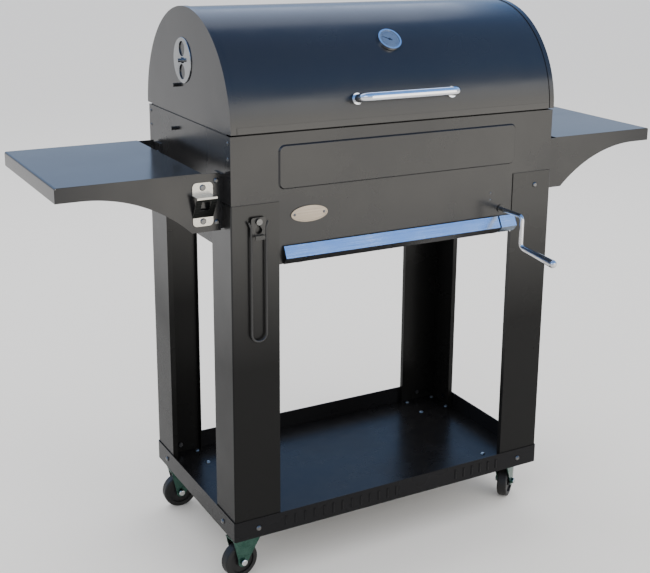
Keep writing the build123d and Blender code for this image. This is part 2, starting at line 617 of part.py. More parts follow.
def grate_lifter():
    x0, x1, top, low, r = -361.0, -328.0, 810.0, 563.0, 2.4
    route = [(x0 - 5, LIFTER_Y, top + 8), (x0, LIFTER_Y, top - 4), (x0, LIFTER_Y, low), (x1, LIFTER_Y, low),
             (x1, LIFTER_Y, top - 4), (x1 + 5, LIFTER_Y, top + 8)]
    path = FilletPolyline(*route, radius=[6, 16.2, 16.2, 6])
    loop = sweep(Plane(origin=path @ 0, z_dir=path % 0) * Circle(r), path=path)
    plate_face = Pos((x0 + x1) / 2, 807.3) * RectangleRounded(x1 - x0, 38.6, 5)
    x, z = STUD
    keyhole = Pos(x, z - KEYHOLE_DROP) * Circle(7.6)
    keyhole = keyhole + Pos(x, z - KEYHOLE_DROP / 2) * Rectangle(7.6, KEYHOLE_DROP)
    keyhole = keyhole + Pos(x, z) * Circle(3.8)
    head = plate_xz(plate_face - keyhole, LIFTER_Y - 0.8, LIFTER_Y + 0.8)
    jaw = block(x0 + 6, x1 - 6, LIFTER_Y - 9, LIFTER_Y + 0.8, 788.5, 790.5)
    jaw = jaw + block(x0 + 6, x1 - 6, LIFTER_Y - 9, LIFTER_Y - 7, 782, 790.5)
    return loop + head + jaw


def hanging_stud():
    """Longer bolt with a head that stands in front of the lifter's plate."""
    x, z = STUD
    front = -LEG_Y
    head = rod_y(x, LIFTER_Y - 5.5, LIFTER_Y - 2.5, z, 6.5)
    shank = rod_y(x, LIFTER_Y - 4, -IN_D + 8, z, 3)
    shoulder = rod_y(x, front - 2, front, z, 6.5)
    nut = rod_y(x, -IN_D, -IN_D + 4.5, z, 5.5)
    return head + shank + shoulder + nut


# ---------------------------------------------------------------- casters
PLATE_PITCH_X, PLATE_PITCH_Y = 80.0, 72.0
AXLE_Z = WHEEL_R
CROWN_Z = 95.5


def caster_plate():
    plate = extrude(Pos(0, 0, BASE_Z - 2.5) * RectangleRounded(98, 90, 6), 2.5)
    race = rod_z(0, 0, 103.4, BASE_Z - 2.5, 24)
    kingpin = rod_z(0, 0, 92, 104, 5) + rod_z(0, 0, 91, CROWN_Z - 0.5, 8.5)
    plate = plate + race + kingpin
    for x in (-PLATE_PITCH_X / 2, PLATE_PITCH_X / 2):
        for y in (-PLATE_PITCH_Y / 2, PLATE_PITCH_Y / 2):
            plate = plate - rod_z(x, y, 100, 120, 3.3)
    return plate


def caster_fork():
    """Crown and two cheeks; the axle sits a trail's length behind the kingpin, along +X here."""
    cheek = polygon((-29, 98), (46, 98), (33.6, 43), (10.4, 37)) + Pos(CASTER_TRAIL, AXLE_Z) * Circle(12)
    cheek = cheek - Pos(CASTER_TRAIL, AXLE_Z) * Circle(4.1)
    gap, t = WHEEL_W / 2 + 2.5, 2.5
    front = plate_xz(cheek, -gap - t, -gap)
    back = plate_xz(cheek, gap, gap + t)
    crown = block(-29, 46, -gap - t, gap + t, CROWN_Z, 98)
    boss = rod_z(0, 0, 98, 103.1, 21)
    fork = front + back + crown + boss - rod_z(0, 0, 80, 120, 5.4)
    half = gap + t
    axle = rod_y(CASTER_TRAIL, -half - 3, half + 5, AXLE_Z, 4)
    axle = axle + rod_y(CASTER_TRAIL, -half - 4.5, -half, AXLE_Z, 7)
    nut = extrude(RegularPolygon(6.5, 6, major_radius=False), 4)
    nut = Pos(CASTER_TRAIL, half, AXLE_Z) * Rot(-90, 0, 0) * nut
    return [fork, axle + nut]


def caster_wheel():
    wheel = rod_y(CASTER_TRAIL, -WHEEL_W / 2, WHEEL_W / 2, AXLE_Z, WHEEL_R)
    wheel = fillet(wheel.edges().filter_by(GeomType.CIRCLE), 4)
    ring = plate_xz(Pos(CASTER_TRAIL, AXLE_Z) * (Circle(29) - Circle(13)), -WHEEL_W / 2, -WHEEL_W / 2 + 4)
    wheel = wheel - ring - Pos(0, WHEEL_W - 4, 0) * ring
    return wheel - rod_y(CASTER_TRAIL, -30, 30, AXLE_Z, 4.35)


CASTERS = {
    "front_left": (-CASTER_X, -CASTER_Y, 187.0),
    "front_right": (CASTER_X, -CASTER_Y, 39.0),
    "rear_left": (-CASTER_X, CASTER_Y, 176.0),
    "rear_right": (CASTER_X, CASTER_Y, 214.0),
}


# ---------------------------------------------------------------- assembly
parts["base_tray"] = base_tray()
leg = leg_front_left()
parts["leg_front_left"] = leg
parts["leg_front_right"] = mirrored_x(leg)
parts["leg_rear_left"] = mirrored_y(leg)
parts["leg_rear_right"] = mirrored_x(mirrored_y(leg))

parts["front_panel"] = front_panel()
parts["rear_panel"] = rear_panel()
parts["side_panel_left"] = side_panel_left()
parts["side_panel_right"] = mirrored_x(side_panel_left())
floor_plate = floor_plate_left()
parts["firebox_floor_plates"] = group([floor_plate, mirrored_x(floor_plate)])
rail = grate_rail_front()
parts["grate_rails"] = group([rail, mirrored_y(rail)])
grate = cooking_grate_right()
parts["cooking_grate_right"] = grate
parts["cooking_grate_left"] = mirrored_x(grate)

guide = tray_guide_right()
parts["tray_guides"] = group([guide, mirrored_x(guide)])
parts["slider_frame"] = slider_frame()
parts["slider_nut"] = slider_nut()
parts["charcoal_tray"] = charcoal_tray()
parts["crank_rod"] = crank_rod()
parts["crank_grip"] = crank_grip()
parts["crank_bushes"] = group([crank_bush(-HALF_D, -IN_D, -1), crank_bush(HALF_D, IN_D, 1)])

parts["ash_drawer"] = ash_drawer()
parts["drawer_lip"] = drawer_lip()
parts["lip_end"] = lip_end()

shelf = shelf_top_left()
apron = shelf_apron_front_left()
bracket = shelf_bracket_front_left()
parts["left_shelf_top"] = shelf
parts["right_shelf_top"] = mirrored_x(shelf)
parts["left_shelf_front_apron"] = apron
parts["left_shelf_rear_apron"] = mirrored_y(apron)
parts["right_shelf_front_apron"] = mirrored_x(apron)
parts["right_shelf_rear_apron"] = mirrored_x(mirrored_y(apron))
parts["shelf_brackets"] = group([bracket, mirrored_x(bracket), mirrored_y(bracket),
                                 mirrored_x(mirrored_y(bracket))])
parts["bottle_opener"] = bottle_opener()
parts["badge"] = badge()

parts["hood_skin"] = hood_skin()
parts["hood_end_left"] = hood_end_left()
parts["hood_end_right"] = mirrored_x(hood_end_left())
parts["vent_left"] = vent_left()
parts["vent_right"] = mirrored_x(vent_left())
parts["lid_handle"] = lid_handle()
parts["thermometer_case"] = thermometer_case()
parts["thermometer_dial"] = thermometer_dial()
parts["thermometer_needle"] = thermometer_needle()

nut_radius = HOOD_R - SHEET - 5.3
nut_planes = [square_to_hood(side * HANDLE_X, HANDLE_ANGLE, nut_radius) for side in (-1, 1)]
nuts = [plane.location * lid_nut() for plane in nut_planes]
gauge_nut = extrude(RegularPolygon(9, 6, major_radius=False), 4) - Cylinder(5.2, 20)
nuts.append(gauge_plane(HOOD_R - SHEET - 4.4).location * gauge_nut)
parts["lid_nuts"] = group(nuts)

hinge_body = [hinge_leaf_body(), hinge_pin()]
hinge_pieces = [Pos(x, 0, 0) * piece for x in (-HINGE_X, HINGE_X) for piece in hinge_body]
parts["hinge_leaves_body"] = group(hinge_pieces)
parts["hinge_leaves_lid"] = group([Pos(x, 0, 0) * hinge_leaf_lid() for x in (-HINGE_X, HINGE_X)])
parts["warming_rack"] = warming_rack()
link = rack_link_left()
parts["rack_links"] = group([link, mirrored_x(link)])
parts["grate_lifter"] = grate_lifter()

plates = []
for name, (x, y, turn) in CASTERS.items():
    place = Pos(x, y, 0) * Rot(0, 0, turn)
    parts["caster_fork_" + name] = group([place * piece for piece in caster_fork()])
    parts["caster_wheel_" + name] = place * caster_wheel()
    plates.append(Pos(x, y, 0) * caster_plate())
parts["caster_plates"] = group(plates)

# ---------------------------------------------------------------- fasteners and their holes
LEGS = ["leg_front_left", "leg_front_right", "leg_rear_left", "leg_rear_right"]
FRAME_BOLT_X, FRAME_BOLT_Y, SKIRT_BOLT_Z, LEG_BOLT_Z = 348.0, 169.0, 133.5, 820.5

frame_bolts = [hanging_stud()]
drill(["leg_front_left", "front_panel"], rod_y(STUD[0], -250, -200, STUD[1], 3.3))
for x, y, wall in ((357, -1, "front_panel"), (-357, 1, "rear_panel"), (357, 1, "rear_panel")):
    point, out = (x, y * LEG_Y, LEG_BOLT_Z), (0, y, 0)
    frame_bolts.append(aimed(bolt(FRAME_SHEET + SHEET), point, out))
    drill(LEGS + [wall], hole(point, out, reach=6))
for sx in (-1, 1):
    for sy in (-1, 1):
        for point, out in (((sx * FRAME_BOLT_X, sy * TRAY_Y, SKIRT_BOLT_Z), (0, sy, 0)),
                           ((sx * TRAY_X, sy * FRAME_BOLT_Y, SKIRT_BOLT_Z), (sx, 0, 0))):
            frame_bolts.append(aimed(bolt(2 * FRAME_SHEET), point, out))
            drill(LEGS + ["base_tray"], hole(point, out, reach=6))
parts["frame_bolts"] = group(frame_bolts)

shelf_bolts = []
for sx, side in ((-1, "left"), (1, "right")):
    for sy, end in ((-1, "front"), (1, "rear")):
        for z in (SHELF_Z - 17, SHELF_Z - 102):
            point, out = (sx * 415, sy * SHELF_Y, z), (0, sy, 0)
            shelf_bolts.append(aimed(bolt(SHEET + 2, head_r=5.5), point, out))
            drill([side + "_shelf_" + end + "_apron", "shelf_brackets"], hole(point, out, reach=6))
        for z, backing in ((890, []), (832, LEGS)):
            point, out = (sx * (LEG_X + 2), sy * 168, z), (sx, 0, 0)
            shelf_bolts.append(aimed(bolt(FRAME_SHEET + 2 + SHEET, head_r=5.5), point, out))
            drill(["shelf_brackets", "side_panel_" + side] + backing, hole(point, out, reach=7))
parts["shelf_bolts"] = group(shelf_bolts)

caster_bolts = []
for x, y, _ in CASTERS.values():
    for dx in (-PLATE_PITCH_X / 2, PLATE_PITCH_X / 2):
        for dy in (-PLATE_PITCH_Y / 2, PLATE_PITCH_Y / 2):
            point = (x + dx, y + dy, BASE_Z + FRAME_SHEET)
            caster_bolts.append(aimed(bolt(FRAME_SHEET + 2.5, head_r=5.5), point, (0, 0, 1)))
            drill(["base_tray"], hole(point, (0, 0, 1), reach=6))
parts["caster_bolts"] = group(caster_bolts)

panel_screws = []
opener_x = -444.5
for z in (SHELF_Z - 28, SHELF_Z - 97):
    point = (opener_x, -SHELF_Y - 2, z)
    panel_screws.append(aimed(screw(2 + SHEET, head_r=6.4), point, (0, -1, 0)))
    drill(["left_shelf_front_apron"], hole(point, (0, 1, 0), r=2.4, reach=8))
for z in (797, 812):
    point = (234, -HALF_D, z)
    panel_screws.append(aimed(screw(SHEET, head_r=2.8), point, (0, -1, 0)))
    drill(["front_panel"], hole(point, (0, 1, 0), r=2.4, reach=8))
for x in (-260, -192):
    point = (x, -HALF_D - 1.3, 820)
    panel_screws.append(aimed(screw(SHEET + 1.3, head_r=2.8, shank_r=1.5), point, (0, -1, 0)))
    drill(["front_panel"], hole(point, (0, 1, 0), r=1.7, reach=8))
for sx, side in ((-1, "left"), (1, "right")):
    for sy, wall in ((-1, "front_panel"), (1, "rear_panel")):
        for z in (946, 978):
            point = (sx * HALF_W, sy * 216, z)
            panel_screws.append(aimed(screw(2 * SHEET, head_r=3.8), point, (sx, 0, 0)))
            drill(["side_panel_" + side, wall], hole(point, (1, 0, 0), r=2.4, reach=8))
parts["panel_screws"] = group(panel_screws)

# ---------------------------------------------------------------- export
os.makedirs("parts", exist_ok=True)
for name, shape in parts.items():
    solids = [Pos(0, PLAN_SHIFT, 0) * s for s in shape.solids()]
    export_step(solids[0] if len(solids) == 1 else Compound(children=solids), "parts/" + name + ".step")
print(len(parts), "nodes; plan shift", PLAN_SHIFT)
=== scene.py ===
# %% [markdown]
# A charcoal grill on a wheeled cart. Its sheet metal, rods, hinges and casters come ready made
# from the CAD frame, so this lesson is mostly about finishes: powder coat, chrome, brushed and
# zinc-plated steel, rubber. A few small pieces that only the eye needs are modelled here too.
# Everything is in metres, with the floor at Z = 0 and the front of the grill towards -Y.

import json
import math

import bpy
from mathutils import Matrix, Vector


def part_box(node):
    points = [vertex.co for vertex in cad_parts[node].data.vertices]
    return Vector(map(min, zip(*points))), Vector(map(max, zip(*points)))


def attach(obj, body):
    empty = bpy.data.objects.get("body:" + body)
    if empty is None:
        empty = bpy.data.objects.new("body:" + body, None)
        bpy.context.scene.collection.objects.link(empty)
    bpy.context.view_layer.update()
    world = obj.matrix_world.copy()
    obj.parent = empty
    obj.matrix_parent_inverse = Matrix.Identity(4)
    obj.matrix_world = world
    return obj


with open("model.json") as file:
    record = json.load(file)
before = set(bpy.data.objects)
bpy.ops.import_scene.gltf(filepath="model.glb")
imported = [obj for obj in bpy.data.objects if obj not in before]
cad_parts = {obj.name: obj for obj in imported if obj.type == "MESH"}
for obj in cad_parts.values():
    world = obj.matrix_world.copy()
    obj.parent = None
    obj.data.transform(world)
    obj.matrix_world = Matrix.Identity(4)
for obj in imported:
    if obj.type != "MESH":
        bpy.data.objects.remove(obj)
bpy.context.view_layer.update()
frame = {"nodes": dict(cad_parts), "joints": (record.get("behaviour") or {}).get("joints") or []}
cad = frame["nodes"]

# %% [markdown]
# Operators act on whatever is selected, and the CAD pieces are selected after loading. So every
# new piece starts from a clean selection. When a piece is done, its place is applied to its
# mesh: the object itself then sits at the origin, and patterns stay put on it.

# %% Helpers for modelling
MM = 0.001


def start_clean():
    """Object mode, nothing selected."""
    active = bpy.context.view_layer.objects.active
    if active and active.mode != "OBJECT":
        bpy.ops.object.mode_set(mode="OBJECT")
    bpy.ops.object.select_all(action="DESELECT")


def only(piece):
    start_clean()
    piece.select_set(True)
    bpy.context.view_layer.objects.active = piece
    return piece


def place(piece, matrix):
    """Move a finished piece to its seat, and write that seat into its mesh."""
    only(piece)
    piece.matrix_world = matrix @ piece.matrix_world
    bpy.ops.object.transform_apply(location=True, rotation=True, scale=True)
    return piece


def apply_all(piece):
    only(piece)
    for modifier in list(piece.modifiers):
        bpy.ops.object.modifier_apply(modifier=modifier.name)
    return piece


def own_copy(piece, name):
    """A copy with its own mesh."""
    twin = piece.copy()
    twin.data = piece.data.copy()
    twin.name = name
    bpy.context.scene.collection.objects.link(twin)
    return twin


def smooth(piece, degrees=35):
    only(piece)
    bpy.ops.object.shade_smooth_by_angle(angle=math.radians(degrees))
    return piece


# %% [markdown]
# The CAD meshes are faceted where they are round. Smooth shading by angle hides the facets and
# keeps true folds crisp. It changes no vertex, so the frame stays as it is.

# %% Smooth the CAD pieces
for piece in cad.values():
    smooth(piece, 28)
print("smoothed", len(cad), "pieces")

# %% [markdown]
# Several finishes share the same small effects. Each effect is a node group, built once: a
# group hands out masks, values and normals, and the shader itself stays in the material.

# %% Helpers for shader nodes
def new_group(name, inputs, outputs):
    """A shader node group whose inputs are (name, default) and whose outputs are (name, type)."""
    tree = bpy.data.node_groups.new(name, "ShaderNodeTree")
    for label, default in inputs:
        socket = tree.interface.new_socket(label, in_out="INPUT", socket_type="NodeSocketFloat")
        socket.default_value = default
    for label, kind in outputs:
        tree.interface.new_socket(label, in_out="OUTPUT", socket_type=kind)
    return tree, tree.nodes.new("NodeGroupInput"), tree.nodes.new("NodeGroupOutput")


def node(tree, kind, **settings):
    made = tree.nodes.new(kind)
    for key, value in settings.items():
        setattr(made, key, value)
    return made


def math_node(tree, operation, first, second):
    made = node(tree, "ShaderNodeMath", operation=operation)
    for socket, value in zip(made.inputs, (first, second)):
        if isinstance(value, (int, float)):
            socket.default_value = value
        else:
            tree.links.new(value, socket)
    return made.outputs[0]


def noise(tree, vector, scale, detail=2.0, roughness=0.5):
    made = node(tree, "ShaderNodeTexNoise")
    made.inputs["Detail"].default_value = detail
    made.inputs["Roughness"].default_value = roughness
    tree.links.new(vector, made.inputs["Vector"])
    if isinstance(scale, (int, float)):
        made.inputs["Scale"].default_value = scale
    else:
        tree.links.new(scale, made.inputs["Scale"])
    return made.outputs["Fac"]


def spread(tree, value, low, high, out_low=0.0, out_high=1.0):
    made = node(tree, "ShaderNodeMapRange")
    tree.links.new(value, made.inputs["Value"])
    for label, number in (("From Min", low), ("From Max", high), ("To Min", out_low), ("To Max", out_high)):
        if isinstance(number, (int, float)):
            made.inputs[label].default_value = number
        else:
            tree.links.new(number, made.inputs[label])
    return made.outputs["Result"]


# %% [markdown]
# Powder coat is plastic dust baked to a skin. Close up it has a faint orange peel, its gloss
# wanders a little from place to place, and fine dust settles on what faces up. The pattern
# reads Object coordinates, so it lies in the piece and does not slide; only the dust mask asks
# which way a face points.

# %% Group: powder skin
def build_powder_skin():
    tree, given, out = new_group(
        "Powder Skin",
        [("Peel Scale", 420.0), ("Peel Height", 0.05), ("Roughness", 0.3), ("Wander", 0.06), ("Dust", 0.3)],
        [("Normal", "NodeSocketVector"), ("Roughness", "NodeSocketFloat"), ("Dust", "NodeSocketFloat")])
    where = node(tree, "ShaderNodeTexCoord").outputs["Object"]
    peel = noise(tree, where, given.outputs["Peel Scale"], 2.0)
    bump = node(tree, "ShaderNodeBump")
    bump.inputs["Distance"].default_value = 0.0006
    tree.links.new(given.outputs["Peel Height"], bump.inputs["Strength"])
    tree.links.new(peel, bump.inputs["Height"])
    tree.links.new(bump.outputs["Normal"], out.inputs["Normal"])
    patches = spread(tree, noise(tree, where, 5.0, 4.0, 0.6), 0.35, 0.7, -1.0, 1.0)
    swing = math_node(tree, "MULTIPLY", patches, given.outputs["Wander"])
    tree.links.new(math_node(tree, "ADD", given.outputs["Roughness"], swing), out.inputs["Roughness"])
    facing = node(tree, "ShaderNodeSeparateXYZ")
    tree.links.new(node(tree, "ShaderNodeNewGeometry").outputs["Normal"], facing.inputs[0])
    upward = spread(tree, facing.outputs["Z"], 0.3, 1.0)
    specks = spread(tree, noise(tree, where, 38.0, 6.0, 0.75), 0.42, 0.72)
    dust = math_node(tree, "MULTIPLY", upward, specks)
    tree.links.new(math_node(tree, "MULTIPLY", dust, given.outputs["Dust"]), out.inputs["Dust"])
    return tree


powder_skin = build_powder_skin()
print("built", powder_skin.name)

# %% [markdown]
# Brushed and rolled steel carry fine parallel lines. Noise stretched along one axis gives them:
# the coordinates are multiplied by a different number along each axis, and the piece's material
# says which way the grain runs.

# %% Group: steel grain
def build_steel_grain():
    tree, given, out = new_group(
        "Steel Grain",
        [("Along X", 6.0), ("Along Y", 900.0), ("Along Z", 900.0), ("Depth", 0.08), ("Roughness", 0.25),
         ("Wander", 0.1)],
        [("Normal", "NodeSocketVector"), ("Roughness", "NodeSocketFloat"), ("Tone", "NodeSocketFloat")])
    where = node(tree, "ShaderNodeTexCoord").outputs["Object"]
    stretch = node(tree, "ShaderNodeCombineXYZ")
    for axis, label in zip("XYZ", ("Along X", "Along Y", "Along Z")):
        tree.links.new(given.outputs[label], stretch.inputs[axis])
    scaled = node(tree, "ShaderNodeVectorMath", operation="MULTIPLY")
    tree.links.new(where, scaled.inputs[0])
    tree.links.new(stretch.outputs[0], scaled.inputs[1])
    lines = noise(tree, scaled.outputs[0], 1.0, 3.0, 0.6)
    bump = node(tree, "ShaderNodeBump")
    bump.inputs["Distance"].default_value = 0.0002
    tree.links.new(given.outputs["Depth"], bump.inputs["Strength"])
    tree.links.new(lines, bump.inputs["Height"])
    tree.links.new(bump.outputs["Normal"], out.inputs["Normal"])
    swing = math_node(tree, "MULTIPLY", spread(tree, lines, 0.3, 0.7, -0.5, 0.5), given.outputs["Wander"])
    clouds = spread(tree, noise(tree, where, 14.0, 4.0, 0.6), 0.3, 0.75, -0.04, 0.06)
    rough = math_node(tree, "ADD", math_node(tree, "ADD", given.outputs["Roughness"], swing), clouds)
    tree.links.new(rough, out.inputs["Roughness"])
    tree.links.new(spread(tree, lines, 0.3, 0.7), out.inputs["Tone"])
    return tree


steel_grain = build_steel_grain()
print("built", steel_grain.name)

# %% [markdown]
# Smudges, fingerprints and water marks sit on anything that is touched or stands outdoors. They
# change the gloss more than the colour, so this group only gives a mask and a roughness.

# %% Group: smudges
def build_smudges():
    tree, given, out = new_group(
        "Smudges", [("Scale", 20.0), ("Roughness", 0.08), ("Strength", 0.1)],
        [("Roughness", "NodeSocketFloat"), ("Mask", "NodeSocketFloat")])
    where = node(tree, "ShaderNodeTexCoord").outputs["Object"]
    mask = spread(tree, noise(tree, where, given.outputs["Scale"], 6.0, 0.62), 0.44, 0.7)
    tree.links.new(mask, out.inputs["Mask"])
    added = math_node(tree, "MULTIPLY", mask, given.outputs["Strength"])
    tree.links.new(math_node(tree, "ADD", given.outputs["Roughness"], added), out.inputs["Roughness"])
    return tree


smudges = build_smudges()
print("built", smudges.name)

# %% [markdown]
# Most materials here are one of three kinds: powder-coated, bare steel or bright plate. A
# helper for each joins its group to the shader, so a material is then one line of values.

# %% Helpers for materials
def new_material(name):
    made = bpy.data.materials.new(name)
    made.use_nodes = True
    return made, made.node_tree, made.node_tree.nodes["Principled BSDF"]


def set_value(material, label, value):
    """A constant on the material's own shader."""
    material.node_tree.nodes["Principled BSDF"].inputs[label].default_value = value


def group_in(tree, group, **values):
    made = node(tree, "ShaderNodeGroup", node_tree=group)
    for label, value in values.items():
        made.inputs[label.replace("_", " ")].default_value = value
    return made


def tint(tree, mask, plain, marked):
    """One colour where the mask is 0, another where it is 1."""
    made = node(tree, "ShaderNodeMix", data_type="RGBA")
    tree.links.new(mask, made.inputs["Factor"])
    made.inputs["A"].default_value = (*plain, 1)
    made.inputs["B"].default_value = (*marked, 1)
    return made.outputs["Result"]


def finish_steel(mat_name, plain, marked, **grain_values):
    made, tree, shader = new_material(mat_name)
    grain = group_in(tree, steel_grain, **grain_values)
    tree.links.new(tint(tree, grain.outputs["Tone"], plain, marked), shader.inputs["Base Color"])
    tree.links.new(grain.outputs["Roughness"], shader.inputs["Roughness"])
    tree.links.new(grain.outputs["Normal"], shader.inputs["Normal"])
    shader.inputs["Metallic"].default_value = 1.0
    return made


def finish_powder(mat_name, plain, dusty, **skin_values):
    made, tree, shader = new_material(mat_name)
    skin = group_in(tree, powder_skin, **skin_values)
    tree.links.new(tint(tree, skin.outputs["Dust"], plain, dusty), shader.inputs["Base Color"])
    tree.links.new(skin.outputs["Roughness"], shader.inputs["Roughness"])
    tree.links.new(skin.outputs["Normal"], shader.inputs["Normal"])
    return made


def finish_plate(mat_name, plain, marked, **smudge_values):
    """Bright plating: a mirror with smudges."""
    made, tree, shader = new_material(mat_name)
    marks = group_in(tree, smudges, **smudge_values)
    tree.links.new(tint(tree, marks.outputs["Mask"], plain, marked), shader.inputs["Base Color"])
    tree.links.new(marks.outputs["Roughness"], shader.inputs["Roughness"])
    shader.inputs["Metallic"].default_value = 1.0
    return made


# %% [markdown]
# The sheet metal wears black powder coat, in a few grades of gloss: the shelf tops are the
# smoothest, the hood and firebox come next, and the bottom tray is dull. Black paint is never
# fully black: a base colour near one per cent leaves room for its reflections to draw the
# shape. A lower specular level dims those reflections without making them blurred.

# %% Powder coats
BLACK = (0.0105, 0.0105, 0.0115)
DUST = (0.075, 0.073, 0.07)
coat_gloss = finish_powder(
    "black_powder_gloss", BLACK, DUST, Roughness=0.27, Dust=0.1, Peel_Height=0.05)
coat_hood = finish_powder(
    "black_powder_hood", BLACK, DUST, Roughness=0.22, Dust=0.05, Peel_Height=0.04)
coat_leg = finish_powder(
    "black_powder_leg", (0.008, 0.008, 0.008), DUST, Roughness=0.3, Dust=0.15, Peel_Height=0.06)
coat_satin = finish_powder(
    "black_powder_satin", (0.007, 0.007, 0.008), DUST, Roughness=0.28, Dust=0.08, Peel_Height=0.08)
coat_shelf = finish_powder(
    "black_powder_shelf", (0.009, 0.009, 0.01), DUST, Roughness=0.17, Dust=0.06, Wander=0.04,
    Peel_Height=0.03)
black_wire = finish_powder(
    "black_wire", (0.012, 0.012, 0.012), DUST, Roughness=0.3, Dust=0.1, Peel_Height=0.03)
enamel = finish_powder(
    "black_enamel", (0.012, 0.012, 0.012), DUST, Roughness=0.2, Dust=0.15, Peel_Height=0.1,
    Peel_Scale=160.0)
for coat, level in ((coat_satin, 0.12), (coat_shelf, 0.36), (coat_gloss, 0.44), (coat_leg, 0.1)):
    set_value(coat, "Specular IOR Level", level)
print("powder coats ready")

# %% [markdown]
# The legs keep their gloss under the shelves and lose it towards the ground, where grit dulls
# them. A clear coat over the paint does this: its weight follows the height on the piece, from
# nothing at the foot to most of a coat at the top.

# %% Gloss that fades down the legs
FADE_LOW, FADE_HIGH = 0.5, 0.78
TOP_COAT = 0.65


def fade_coat(finish):
    tree = finish.node_tree
    where = node(tree, "ShaderNodeSeparateXYZ")
    tree.links.new(node(tree, "ShaderNodeTexCoord").outputs["Object"], where.inputs[0])
    weight = spread(tree, where.outputs["Z"], FADE_LOW, FADE_HIGH, 0.0, TOP_COAT)
    tree.links.new(weight, tree.nodes["Principled BSDF"].inputs["Coat Weight"])
    set_value(finish, "Coat Roughness", 0.3)


fade_coat(coat_leg)
print("legs fade between", FADE_LOW, "and", FADE_HIGH, "m")

# %% [markdown]
# Rubber and printed paint have no peel worth seeing, but they gather dust and wear unevenly in
# the same way, so they are the same group with other values.

# %% Rubber, dial and needle
dial_paint = finish_powder(
    "dial_paint", (0.42, 0.5, 0.62), (0.36, 0.42, 0.5), Roughness=0.35, Dust=0.3)
needle_paint = finish_powder(
    "needle_paint", (0.03, 0.03, 0.035), (0.06, 0.06, 0.065), Roughness=0.35, Dust=0.3)
rubber = finish_powder(
    "wheel_rubber", (0.01, 0.01, 0.01), (0.03, 0.029, 0.027), Roughness=0.5, Wander=0.1, Dust=0.4,
    Peel_Scale=260.0, Peel_Height=0.2)
set_value(rubber, "Specular IOR Level", 0.3)
print("rubber and paint ready")

# %% [markdown]
# Metal shows where there is no powder coat: bright chrome on the handle and the thermometer's
# rim, greyer chrome on the vents and the crank, brushed stainless on the drawer's lip, warmer
# steel on the badge, zinc on the casters, dark bolts, and rolled steel on the lifting gear
# inside. The casters' forks are zinc with a painted reflection: their colour is tinted green, as
# if they mirrored a lawn. Where steel has no grain, the noise has one scale along all three axes.

# %% Metals
EVEN = {"Along_X": 60.0, "Along_Y": 60.0, "Along_Z": 60.0}
chrome = finish_plate(
    "bright_chrome", (0.74, 0.75, 0.77), (0.6, 0.61, 0.63), Roughness=0.07, Strength=0.12)
vent_plate = finish_plate(
    "vent_chrome", (0.3, 0.31, 0.32), (0.24, 0.25, 0.26), Roughness=0.14, Strength=0.16)
crank_plate = finish_plate(
    "crank_chrome", (0.6, 0.6, 0.61), (0.48, 0.48, 0.49), Roughness=0.16, Strength=0.18)
stainless = finish_steel(
    "brushed_stainless", (0.42, 0.52, 0.68), (0.5, 0.6, 0.75), Roughness=0.2, Depth=0.05)
badge_plate = finish_steel(
    "badge_steel", (0.25, 0.21, 0.17), (0.34, 0.3, 0.25), Roughness=0.36, Depth=0.1)
zinc = finish_steel(
    "dull_zinc", (0.3, 0.31, 0.3), (0.4, 0.41, 0.39), Roughness=0.34, Depth=0.05, Wander=0.2, **EVEN)
# painted reflection: the forks' green tint stands in for grass mirrored in the zinc
fork_zinc_painted_reflection = finish_steel(
    "zinc_painted_lawn_reflection", (0.035, 0.085, 0.066), (0.06, 0.125, 0.1), Roughness=0.3, Depth=0.05,
    Wander=0.25, **EVEN)
dark_bolt = finish_steel(
    "dark_bolt", (0.1, 0.1, 0.1), (0.16, 0.16, 0.16), Roughness=0.32, Depth=0.05, Wander=0.2, **EVEN)
rolled = finish_steel(
    "rolled_steel", (0.3, 0.3, 0.31), (0.36, 0.36, 0.37), Roughness=0.4, Depth=0.1)
print("metals ready")

# %% [markdown]
# The bottle opener is plain steel with painted shade: faces that look down, such as the underside
# of its slanted tongue, are tinted nearly black. A mix driven by the way a face points tells the two apart.

# %% Opener steel, with painted shade underneath
def paint_underside_shade(finish, dark):
    """Painted shade: faces that look down are tinted towards `dark`."""
    tree = finish.node_tree
    colour = tree.nodes["Principled BSDF"].inputs["Base Color"]
    unshaded = colour.links[0].from_socket
    facing = node(tree, "ShaderNodeSeparateXYZ")
    tree.links.new(node(tree, "ShaderNodeNewGeometry").outputs["Normal"], facing.inputs[0])
    blend = node(tree, "ShaderNodeMix", data_type="RGBA")
    tree.links.new(spread(tree, facing.outputs["Z"], -0.1, -0.35), blend.inputs["Factor"])
    tree.links.new(unshaded, blend.inputs["A"])
    blend.inputs["B"].default_value = (*dark, 1)
    tree.links.new(blend.outputs["Result"], colour)


opener_steel = finish_steel(
    "opener_steel", (0.36, 0.35, 0.32), (0.46, 0.45, 0.42), Roughness=0.26, Depth=0.1)
# painted shade: the opener's down-facing faces are tinted nearly black
paint_underside_shade(opener_steel, (0.02, 0.021, 0.02))
print("opener steel ready")

# %% [markdown]
# Each CAD piece now gets its finish. One table says it all, and whatever the table forgets is
# printed.

